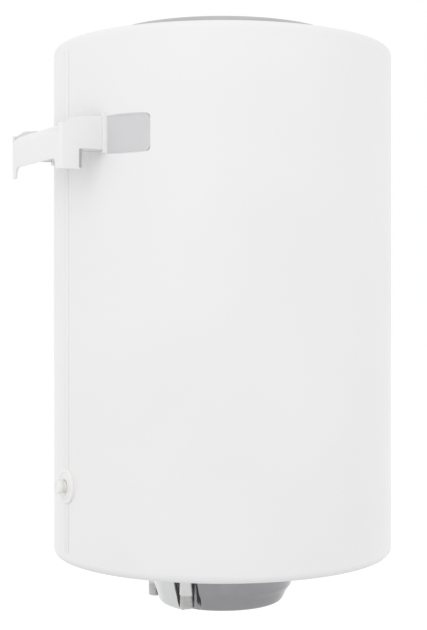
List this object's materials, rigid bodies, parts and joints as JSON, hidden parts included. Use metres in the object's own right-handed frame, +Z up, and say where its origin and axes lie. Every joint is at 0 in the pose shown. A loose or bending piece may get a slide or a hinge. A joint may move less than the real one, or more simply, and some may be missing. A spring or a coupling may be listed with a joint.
{
  "type": "wall-hung storage water heater",
  "caption": "Vertical electric storage water heater: round white jacket hung on a pressed wall bracket, pipes and silver control cover below, grey cap on top.",
  "frame": {"origin": "middle of the wall bracket's rear face, on the wall", "axes": "+Z up along the tank, +Y out of the bracket's rear face into the wall, +X to the heater's right as seen from the room"},
  "size_m": [0.4899, 0.537, 0.8275],
  "materials": {
    "white_painted_steel": "white powder coat, smooth satin",
    "grey_cap_plastic": "moulded light grey, fine matt",
    "silver_cover_plastic": "silver painted, glossy",
    "pipe_steel": "zinc plated, drawn",
    "white_plastic": "moulded, satin",
    "slot_plate_plastic": "moulded light grey, matt",
    "grey_plastic": "moulded, satin",
    "black_plastic": "moulded, matt",
    "tank_enamel_steel": "fused glass enamel, deep blue",
    "plated_steel": "zinc plated",
    "copper": "drawn copper",
    "brass": "turned brass",
    "stainless": "drawn stainless steel",
    "magnesium": "cast, dull",
    "seal_rubber": "moulded rubber, matt",
    "foam": "rigid polyurethane foam, cream",
    "red_plastic": "moulded, glossy",
    "amber_lens": "clear amber, glossy",
    "lamp_glass": "clear glass",
    "lead_insulation": "soft insulation"
  },
  "bodies": {
    "heater": {"casing_shell": "white_painted_steel", "top_lid": "white_painted_steel", "bottom_lid": "white_painted_steel", "arm_slot_plates": "slot_plate_plastic", "top_cap": "grey_cap_plastic", "filling_plug": "white_plastic", "tank_shell": "tank_enamel_steel", "tank_top_dome": "tank_enamel_steel", "tank_bottom_dome": "tank_enamel_steel", "flange_ring": "tank_enamel_steel", "flange_gasket": "seal_rubber", "flange_plate": "plated_steel", "flange_studs": "plated_steel", "flange_nuts": "plated_steel", "heating_element": "copper", "element_bushes": "brass", "element_terminals": "plated_steel", "thermostat_pocket": "stainless", "anode_rod": "magnesium", "anode_nut": "plated_steel", "thermostat_body": "black_plastic", "thermostat_probe": "stainless", "terminal_block": "white_plastic", "terminal_screws": "brass", "earth_stud": "brass", "earth_nut": "brass", "internal_leads": "lead_insulation", "cold_inlet_pipe": "pipe_steel", "hot_outlet_pipe": "pipe_steel", "pipe_grommets": "grey_plastic", "cold_water_deflector": "white_plastic", "hot_water_riser": "stainless", "wall_bracket": "white_painted_steel", "bracket_doublers": "tank_enamel_steel", "arm_foam_dams": "seal_rubber", "standoff_socket": "white_plastic", "bottom_cover": "silver_cover_plastic", "cover_pillars": "plated_steel", "cover_screws": "plated_steel", "indicator_lens": "amber_lens", "indicator_bulb": "lamp_glass", "indicator_holder": "grey_plastic", "cable_gland": "black_plastic", "gland_seal": "seal_rubber", "gland_cap": "black_plastic", "gland_nut": "black_plastic", "insulation_foam": "foam"},
    "knob": {"thermostat_shaft": "plated_steel", "control_knob": "grey_plastic"},
    "cutout_button": {"reset_button": "red_plastic"},
    "standoff": {"standoff_screw": "white_plastic", "standoff_pad": "white_plastic"}
  },
  "joints": [
    {"name": "thermostat_turn", "type": "hinge", "parent": "heater", "child": "knob", "pos_m": [0, -0.322, -0.6465], "axis": [0, 0, 1], "range_deg": [0, 270]},
    {"name": "cutout_press", "type": "slide", "parent": "heater", "child": "cutout_button", "axis": [0, 0, 1], "range_m": [0, 0.002], "stiffness_N_per_m": 600, "springref_m": -0.001},
    {"name": "standoff_slide", "type": "slide", "parent": "heater", "child": "standoff", "axis": [0, 1, 0], "range_m": [0, 0.032]}
  ]
}
